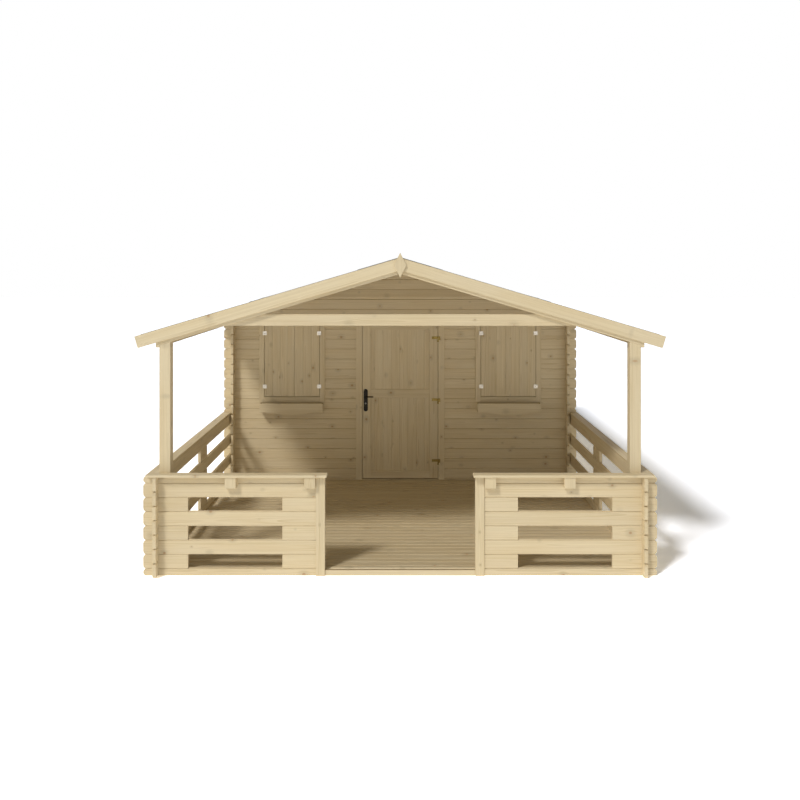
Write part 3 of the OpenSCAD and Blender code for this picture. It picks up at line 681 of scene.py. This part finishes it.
boxes = [((x0, low.y, low.z + foot), (x0 + stile, high.y, high.z))
         for x0 in (low.x, high.x - stile)]
boxes += [((low.x + stile, low.y, z0), (high.x - stile, high.y, z1))
          for z0, z1 in (bottom_rail, middle_rail, top_rail)]
for below, above in ((bottom_rail, middle_rail), (middle_rail, top_rail)):
    boxes += [((x0, low.y + panel_back, below[1] - tongue),
               (x1, low.y + panel_back + panel_thick, above[0] + tongue))
              for x0, x1 in between(panel_edges, tight_joint)]
planked("door_boards", boxes, ["door_leaf"], board_spruce, body="door", width=0.0013)
timber("door_frame", board_spruce, width=0.0015)

# %% [markdown]
# ## Windows and shutters
# Each window is cased with four boards outside and four inside, with a lining through the
# wall. Its two closed shutters are made of upright boards, and the leaf by the door is the
# narrower one.

# %% Window frames and shutters
casing, casing_thick, lining, lining_back = 0.058, 0.0115, 0.020, 0.0117
shutter_box = {side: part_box(f"{side}_shutters") for side in ("left", "right")}
shutter_half = (shutter_box["right"][1].x - shutter_box["right"][0].x) / 2
leaf_edges = {
    "left": ((-shutter_half, -0.220, -0.133, -0.047, 0.027),
             (0.029, 0.126, 0.218, shutter_half)),
    "right": ((-shutter_half, -0.220, -0.133, -0.029),
              (-0.027, 0.030, 0.127, 0.220, shutter_half))}


def four_boards(low, high, inset, wide, front, back):
    x0, x1, z0, z1 = low.x + inset, high.x - inset, low.z + inset, high.z - inset
    sides = [((x, front, z0), (x + wide, back, z1)) for x in (x0, x1 - wide)]
    ends = [((x0 + wide, front, z), (x1 - wide, back, z + wide)) for z in (z0, z1 - wide)]
    return sides + ends


for side in ("left", "right"):
    low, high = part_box(f"{side}_window_frame")
    boxes = four_boards(low, high, 0, casing, low.y, low.y + casing_thick)
    boxes += four_boards(low, high, 0, casing, high.y - casing_thick, high.y)
    boxes += four_boards(low, high, casing - lining, lining,
                         low.y + lining_back, high.y - lining_back)
    planked(f"{side}_window_casing", boxes, [f"{side}_window_frame"], board_spruce)

    shut_low, shut_high = shutter_box[side]
    middle = (shut_low.x + shut_high.x) / 2
    boxes = [((middle + x0, shut_low.y, shut_low.z), (middle + x1, shut_high.y, shut_high.z))
             for edges in leaf_edges[side] for x0, x1 in between(edges, tight_joint)]
    planked(f"{side}_shutter_boards", boxes, [f"{side}_shutters"], board_spruce)
timber("window_boxes", board_spruce, width=0.0015)

# %% [markdown]
# ## Roofing felt
# Mineral felt is heavy paper soaked in bitumen and strewn with fine slate. It looks grey and
# matt, with a sandy sparkle close to and slow patches further off.

# %% Felt material
felt_group, given, out = new_group(
    "slate_granules",
    [("Place", "Vector", (0, 0, 0)), ("Slate", "Color", (0.2, 0.21, 0.21, 1)),
     ("Tone", "Float", 0.0)])
g = felt_group
grit = put(g, "TexVoronoi", {"Vector": given["Place"], "Scale": 420.0, "Randomness": 1.0}).outputs
grit_draw = put(g, "SeparateColor", {0: grit["Color"]}).outputs[0]
patch = put(g, "TexNoise", {"Vector": given["Place"], "Scale": 2.2, "Detail": 5.0,
                            "Roughness": 0.6}).outputs[0]
level = calc(g, "MULTIPLY_ADD", grit_draw, 0.55, 0.72)
level = calc(g, "MULTIPLY", level, spread(g, patch, 0.3, 0.7, 0.86, 1.1))
level = calc(g, "MULTIPLY", level, calc(g, "MULTIPLY_ADD", given["Tone"], 0.07, 1.0))
grey = put(g, "CombineColor", {0: level, 1: level, 2: level}).outputs[0]
g.links.new(blended(g, 1.0, given["Slate"], grey, "MULTIPLY"), out["Colour"])
g.links.new(calc(g, "MULTIPLY_ADD", grit_draw, 0.12, 0.82), out["Roughness"])
g.links.new(calc(g, "MULTIPLY_ADD", grit["Distance"], -0.6, grit_draw), out["Height"])

slate = (0.300, 0.296, 0.285)
felt, tree, shader = new_material("mineral_felt", slate, 0.9)
place = put(tree, "TexCoord").outputs["Object"]
tone = put(tree, "Attribute", attribute_name="tone").outputs["Fac"]
dress(tree, shader, felt_group, {"Place": place, "Slate": (*slate, 1), "Tone": tone},
      strength=0.6, depth=0.0006)
print("felt material ready")

# %% [markdown]
# ## Felt strips
# Felt is laid from the eaves up: a metre-wide strip along each eave, a second strip that laps
# over it, and a capping strip bent over the ridge. Each strip is a grid that is moved onto
# the roof, lifted where it laps, and gently rippled by a noise, then given its thickness.

# %% Lay the felt
felt_low, felt_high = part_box("roof_felt")
felt_thick, lap_lift, felt_clear = 0.0022, 0.0028, 0.0003
eave_x, lap_x, cap_x = felt_high.x, 1.202, 0.340
lap, settle_start, settle_run = 0.096, 0.10, 0.06
steps_along = 110


def ripple(x, y, strip):
    return (0.0005 * noise.noise(Vector((x * 1.7, y * 1.3, 7.0 * strip)))
            + 0.0003 * noise.noise(Vector((x * 9.0, y * 6.0, 3.0 + strip))))


def strip_lift(x, strip):
    if strip == 0:
        return felt_clear
    if strip == 1:
        settled = min(1.0, max(0.0, (lap_x - settle_start - abs(x)) / settle_run))
        return felt_clear + lap_lift * (1 - settled)
    return felt_clear + lap_lift


def felt_top(x, y, strip):
    deck_top = ridge_height + deck_rise - roof_slope * abs(x)
    return deck_top + felt_thick + strip_lift(x, strip) + ripple(x, y, strip)


def lay_strip(form, x0, x1, strip, steps_across):
    verts = bmesh.ops.create_grid(form, x_segments=steps_across, y_segments=steps_along,
                                  size=0.5)["verts"]
    for vert in verts:
        x = x0 + (vert.co.x + 0.5) * (x1 - x0)
        y = felt_low.y + (vert.co.y + 0.5) * (felt_high.y - felt_low.y)
        vert.co = (x, y, felt_top(x, y, strip))


form = bmesh.new()
for side in (-1, 1):
    lay_strip(form, *sorted((side * eave_x, side * (lap_x - lap))), strip=0, steps_across=10)
    lay_strip(form, *sorted((side * lap_x, side * (cap_x - lap))), strip=1, steps_across=14)
lay_strip(form, -cap_x, cap_x, strip=2, steps_across=12)
bmesh.ops.recalc_face_normals(form, faces=form.faces)
for face in form.faces:
    if face.normal.z < 0:
        face.normal_flip()
bmesh.ops.solidify(form, geom=form.faces[:], thickness=felt_thick)
bmesh.ops.recalc_face_normals(form, faces=form.faces)
give_grain(form, "felt", along=(0, 1, 0))
finish_piece(form, "felt_strips", "shed", felt, ["roof_felt"], smooth_below=50)

# %% [markdown]
# ## Clout nails
# Flat-headed galvanised nails hold the laps and the edges of the felt, about 100 mm apart.
# There are hundreds of them, so each head is only a flat eight-sided disc, narrower at its top.

# %% Nail the felt
nails_along, nails_up, nail_play = 70, 20, 0.003
from_the_lap, from_the_gable, from_the_corner = 0.022, 0.012, 0.03
head_foot, head_rim, head_thick, head_lift = 0.0055, 0.0042, 0.0009, 0.0003

zinc, tree, shader = new_material("dull_zinc", (0.42, 0.43, 0.44), 0.5, 0.8)
place = put(tree, "TexCoord").outputs["Object"]
spots = put(tree, "TexNoise", {"Vector": place, "Scale": 350.0, "Detail": 2.0}).outputs[0]
colour = blended(tree, spots, (0.34, 0.35, 0.36, 1), (0.5, 0.51, 0.52, 1))
tree.links.new(colour, shader.inputs["Base Color"])
tree.links.new(spread(tree, spots, 0.3, 0.7, 0.4, 0.65), shader.inputs["Roughness"])


def nail_head(form, x, y, strip):
    lean = math.atan(roof_slope) * (1 if x > 0 else -1)
    centre = Matrix.Translation((x, y, felt_top(x, y, strip) + head_lift))
    bmesh.ops.create_cone(form, cap_ends=True, segments=8, radius1=head_foot, radius2=head_rim,
                          depth=head_thick, matrix=centre @ Matrix.Rotation(lean, 4, "Y"))


form = bmesh.new()
draw = random.Random("nails")
rows = [(side * (x - from_the_lap), strip) for side in (-1, 1)
        for x, strip in ((eave_x, 0), (lap_x, 1), (cap_x, 2))]
nailed_length = felt_high.y - felt_low.y - 2 * from_the_corner
for x, strip in rows:
    for n in range(nails_along):
        y = felt_low.y + from_the_corner + n * nailed_length / (nails_along - 1)
        nail_head(form, x + draw.uniform(-nail_play, nail_play),
                  y + draw.uniform(-2 * nail_play, 2 * nail_play), strip)
for y in (felt_low.y + from_the_gable, felt_high.y - from_the_gable):
    for side in (-1, 1):
        for n in range(1, nails_up + 1):
            x = n * (eave_x - from_the_corner) / (nails_up + 0.5)
            strip = 2 if x < cap_x else 1 if x < lap_x else 0
            nail_head(form, side * (x + draw.uniform(-nail_play, nail_play)), y, strip)
finish_piece(form, "felt_nails", "shed", zinc)

# %% [markdown]
# ## Metal finishes
# The hinges are yellow brass with a slightly clouded shine, the shutter clips are bright
# plated steel, the lock cylinder is the same steel worn dull, and the handle is black satin
# lacquer. One group gives all of them their faint unevenness: it clouds the colour and the
# roughness and raises a fine orange-peel, and each material sets how strong that is.

# %% Metal materials
cloud_group, given, out = new_group(
    "clouded_surface",
    [("Place", "Vector", (0, 0, 0)), ("Base", "Color", (0.5, 0.5, 0.5, 1)),
     ("Stain", "Color", (0.4, 0.4, 0.4, 1)), ("Smooth", "Float", 0.3), ("Rough", "Float", 0.5)])
g = cloud_group
cloud = put(g, "TexNoise", {"Vector": given["Place"], "Scale": 38.0, "Detail": 4.0}).outputs[0]
peel = put(g, "TexNoise", {"Vector": given["Place"], "Scale": 900.0, "Detail": 1.0}).outputs[0]
amount = spread(g, cloud, 0.35, 0.7)
roughness = put(g, "Mix", {0: amount, 2: given["Smooth"], 3: given["Rough"]},
                data_type="FLOAT").outputs[0]
g.links.new(blended(g, amount, given["Base"], given["Stain"]), out["Colour"])
g.links.new(roughness, out["Roughness"])
g.links.new(calc(g, "MULTIPLY_ADD", cloud, 0.4, calc(g, "MULTIPLY", peel, 0.6)), out["Height"])


def clouded_material(name, base, stain, smooth, rough, metallic=1.0, strength=0.2, gloss=0.5):
    material, tree, shader = new_material(name, base, smooth, metallic)
    shader.inputs["Specular IOR Level"].default_value = gloss
    inputs = {"Place": put(tree, "TexCoord").outputs["Object"], "Base": (*base, 1),
              "Stain": (*stain, 1), "Smooth": smooth, "Rough": rough}
    dress(tree, shader, cloud_group, inputs, strength, depth=0.0002)
    return material


brass = clouded_material("yellow_brass", (0.33, 0.235, 0.075), (0.25, 0.175, 0.05), 0.38, 0.55)
plated_steel = clouded_material("plated_steel", (0.84, 0.78, 0.66), (0.76, 0.70, 0.59), 0.36, 0.50)
worn_steel = clouded_material("worn_steel", (0.34, 0.33, 0.29), (0.28, 0.27, 0.24), 0.36, 0.50)
black_lacquer = clouded_material("black_lacquer", (0.020, 0.016, 0.010), (0.026, 0.021, 0.014),
                                 0.42, 0.55, metallic=0.0, strength=0.25, gloss=0.2)
# The key slot material is near black: painted shade for the dark inside of a slot.
slot_painted_shade = clouded_material("painted_slot_shade", (0.02, 0.018, 0.015), (0.03, 0.026, 0.02),
                              0.6, 0.8, metallic=0.0, strength=0.1)
print("metal materials ready")

# %% [markdown]
# ## Screws
# A countersunk screw head is a disc with a cross-shaped recess. A five by five grid has just
# the right faces for it: its rim is pulled out to a circle, its middle plus sign is pushed
# down for the driver, and its edge is folded down into a short skirt.

# %% Screw helper
middle_size, recess, recess_taper, skirt, skirt_flare = 0.62, 0.35, 0.7, 0.30, 1.06


def in_the_plus(face):
    middle = face.calc_center_median()
    return min(abs(middle.x), abs(middle.y)) < 0.01 and middle.length < 0.7


def screw_head(form, centre, facing, turn, radius=0.0035):
    verts = bmesh.ops.create_grid(form, x_segments=5, y_segments=5, size=1.0)["verts"]
    faces = {face for vert in verts for face in vert.link_faces}
    rim = [v for v in verts if v.is_boundary]
    for vert in verts:
        if vert.is_boundary:
            vert.co = vert.co.normalized()
        else:
            vert.co *= middle_size
    plus = [face for face in faces if in_the_plus(face)]
    sunk = only_verts(bmesh.ops.extrude_face_region(form, geom=plus)["geom"])
    bmesh.ops.delete(form, geom=plus, context="FACES_ONLY")
    bmesh.ops.translate(form, verts=sunk, vec=(0, 0, -recess))
    bmesh.ops.scale(form, verts=sunk, vec=(recess_taper, recess_taper, 1))
    rim_edges = list({e for v in rim for e in v.link_edges if e.is_boundary})
    folded = only_verts(bmesh.ops.extrude_edge_only(form, edges=rim_edges)["geom"])
    bmesh.ops.translate(form, verts=folded, vec=(0, 0, -skirt))
    bmesh.ops.scale(form, verts=folded, vec=(skirt_flare, skirt_flare, 1))
    facing_way = Vector(facing).to_track_quat("Z", "Y").to_matrix().to_4x4()
    place = (Matrix.Translation(centre) @ facing_way @ Matrix.Rotation(turn, 4, "Z")
             @ Matrix.Scale(radius, 4))
    bmesh.ops.transform(form, matrix=place, verts=verts + sunk + folded)

print("screw helper ready")

# %% [markdown]
# ## Hinges
# Three lift-off hinges carry the door: a strap and its knuckle turn with the leaf, and the
# plate, the lower knuckle and the pin stay on the frame. The CAD shapes are kept, with
# rounded edges, and each gets its screws.

# %% Hinges and their screws
outwards, inwards = (0, -1, 0), (0, 1, 0)
hinge_heights, hinge_metal = (0.264, 0.953, 1.654), 0.0031
strap_holes, plate_hole, plate_rows = (0.372, 0.396), 0.446, (-0.015, 0.006)
hinge_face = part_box("door_leaf")[0].y - hinge_metal


def metalwork(node, body, material, width, screws, segments=2):
    form = clean_copy(node)
    chamfer(form, width, segments=segments)
    draw = random.Random(node)
    for centre, facing in screws:
        screw_head(form, centre, facing, draw.uniform(0, math.pi / 2))
    finish_piece(form, "cut_" + node, body, material, [node])


strap_screws = [(Vector((x, hinge_face, z)), outwards) for z in hinge_heights
                for x in strap_holes]
plate_screws = [(Vector((plate_hole, hinge_face, z + up)), outwards) for z in hinge_heights
                for up in plate_rows]
metalwork("door_hinge_straps", "door", brass, 0.0006, strap_screws)
metalwork("door_hinge_pins", "shed", brass, 0.0006, plate_screws)

# %% [markdown]
# ## Lever handle
# The long plate has rounded ends and an eased rim, and a round lock cylinder with a key slot.
# The lever is drawn as a sweep: a circle is extruded out of the plate, spun a quarter turn
# towards the hinges, and extruded again into a grip that flattens and ends in a round nose.

# %% Handle plates
plate_low, plate_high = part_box("door_handle_plates")
handle_x = (plate_low.x + plate_high.x) / 2
outside_face, inside_face = plate_low.y, plate_high.y
screw_proud, screw_inset = 0.0002, 0.014
screw_faces = ((outside_face - screw_proud, outwards), (inside_face + screw_proud, inwards))
handle_screws = [(Vector((handle_x, y, z)), facing) for y, facing in screw_faces
                 for z in (plate_low.z + screw_inset, plate_high.z - screw_inset)]
metalwork("door_handle_plates", "door", black_lacquer, 0.002, handle_screws,
          segments=3)

# %% Lock cylinder
slot_half_wide, slot_half_tall, slot_deep, slot_proud = 0.0011, 0.0045, 0.0006, 0.0001
lock_low, lock_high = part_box("door_lock_cylinder")
lock_z = (lock_low.z + lock_high.z) / 2
form = clean_copy("door_lock_cylinder")
chamfer(form, 0.0008, segments=2)
finish_piece(form, "lock_cylinder", "door", worn_steel, ["door_lock_cylinder"])
# Each key slot is a thin black box on a face of the cylinder, painted shade that stands for the
# dark inside of the slot.
form = bmesh.new()
for y in (lock_low.y - slot_proud, lock_high.y + slot_proud - slot_deep):
    add_plank(form, (handle_x - slot_half_wide, y, lock_z - slot_half_tall),
              (handle_x + slot_half_wide, y + slot_deep, lock_z + slot_half_tall))
chamfer(form, 0.0001)
finish_piece(form, "painted_key_slot_shade", "door", slot_painted_shade)

# %% Levers and spindle
bend, lever_radius, spindle_radius, half_grip = 0.016, 0.0072, 0.004, 0.008
collar_long, waist_long, waist_size, lever_play = 0.004, 0.003, 0.86, 0.0003
lever_low, lever_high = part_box("door_lever")
lever_z = (lever_low.z + lever_high.z) / 2
short_steps = 0.055
long_step = lever_high.x - handle_x - bend - short_steps
grip_steps = ((0.018, (1, 1.0, 1.08)), (0.030, (1, 0.92, 1.06)), (long_step, (1, 0.9, 0.98)),
              (0.004, (1, 0.85, 0.88)), (0.002, (1, 0.6, 0.62)))
across_the_leaf = Matrix.Rotation(math.radians(90), 4, "X")


def only_edges(geom):
    return [e for e in geom if isinstance(e, bmesh.types.BMEdge)]


def stretch(form, edges, move, scale=(1, 1, 1)):
    grown = bmesh.ops.extrude_edge_only(form, edges=edges)["geom"]
    verts = only_verts(grown)
    bmesh.ops.translate(form, verts=verts, vec=move)
    middle = sum((v.co for v in verts), Vector()) / len(verts)
    bmesh.ops.scale(form, verts=verts, vec=scale, space=Matrix.Translation(-middle))
    return only_edges(grown)


def sweep_lever(form, root_y, way):
    grip_y = lever_low.y + half_grip if way < 0 else lever_high.y - half_grip
    bend_y = grip_y - way * bend
    start = Matrix.Translation((handle_x, root_y, lever_z)) @ across_the_leaf
    ring = bmesh.ops.create_circle(form, cap_ends=False, segments=20, radius=lever_radius,
                                   matrix=start)["verts"]
    root = list({e for v in ring for e in v.link_edges})
    collar = stretch(form, root, (0, way * collar_long, 0))
    waist = stretch(form, collar, (0, way * waist_long, 0), (waist_size, 1, waist_size))
    neck = stretch(form, waist, (0, bend_y - (root_y + way * (collar_long + waist_long)), 0))
    turned = bmesh.ops.spin(form, geom=neck, cent=(handle_x + bend, bend_y, lever_z),
                            axis=(0, 0, 1), angle=math.radians(way * 90), steps=7,
                            use_merge=False)["geom_last"]
    grip = only_edges(turned)
    for run, fat in grip_steps:
        grip = stretch(form, grip, (run, 0, 0), fat)
    bmesh.ops.contextual_create(form, geom=grip)
    bmesh.ops.contextual_create(form, geom=root)


form = bmesh.new()
sweep_lever(form, outside_face - lever_play, -1)
sweep_lever(form, inside_face + lever_play, 1)
spindle_middle = Matrix.Translation((handle_x, (outside_face + inside_face) / 2, lever_z))
bmesh.ops.create_cone(form, cap_ends=True, segments=16, radius1=spindle_radius,
                      radius2=spindle_radius, depth=inside_face - outside_face,
                      matrix=spindle_middle @ across_the_leaf)
bmesh.ops.remove_doubles(form, verts=form.verts, dist=0.00001)
bmesh.ops.recalc_face_normals(form, faces=form.faces)
finish_piece(form, "lever_handle", "lever", black_lacquer, ["door_lever"],
             smooth_below=50)

# %% [markdown]
# ## Shutter clips
# Small square plates of plated steel bridge the joint between a shutter and its casing. Each
# is screwed on through its middle.

# %% Clips
clip_size, screw_size, screw_proud = 0.045, 0.0045, 0.0003
clip_low, clip_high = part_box("shutter_clips")
window_x = (shutter_box["right"][0].x + shutter_box["right"][1].x) / 2
clip_reach = clip_high.x - clip_size / 2 - window_x
clip_centres = [Vector((side * window_x + end * clip_reach, clip_low.y - screw_proud, z))
                for side in (-1, 1) for end in (-1, 1)
                for z in (clip_low.z + clip_size / 2, clip_high.z - clip_size / 2)]
form = clean_copy("shutter_clips")
chamfer(form, 0.0015, segments=2)
finish_piece(form, "clip_plates", "shed", plated_steel, ["shutter_clips"])
form = bmesh.new()
draw = random.Random("clips")
for centre in clip_centres:
    screw_head(form, centre, outwards, draw.uniform(0, math.pi / 2), screw_size)
finish_piece(form, "clip_screws", "shed", zinc)

# %% [markdown]
# ## Glass
# Two clear panes sit behind each pair of shutters. Their CAD shape is already right, so the
# node stays and only its material is new: plain glass with a breath of dust in its gloss.

# %% Glazing
glass, tree, shader = new_material("window_pane", (0.93, 0.97, 0.96), 0.03)
shader.inputs["Transmission Weight"].default_value = 1.0
shader.inputs["IOR"].default_value = 1.45
place = put(tree, "TexCoord").outputs["Object"]
dust = put(tree, "TexNoise", {"Vector": place, "Scale": 9.0, "Detail": 5.0}).outputs[0]
tree.links.new(spread(tree, dust, 0.4, 0.8, 0.02, 0.16), shader.inputs["Roughness"])
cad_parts["window_glass"].material_slots[0].material = glass
print("glass ready")
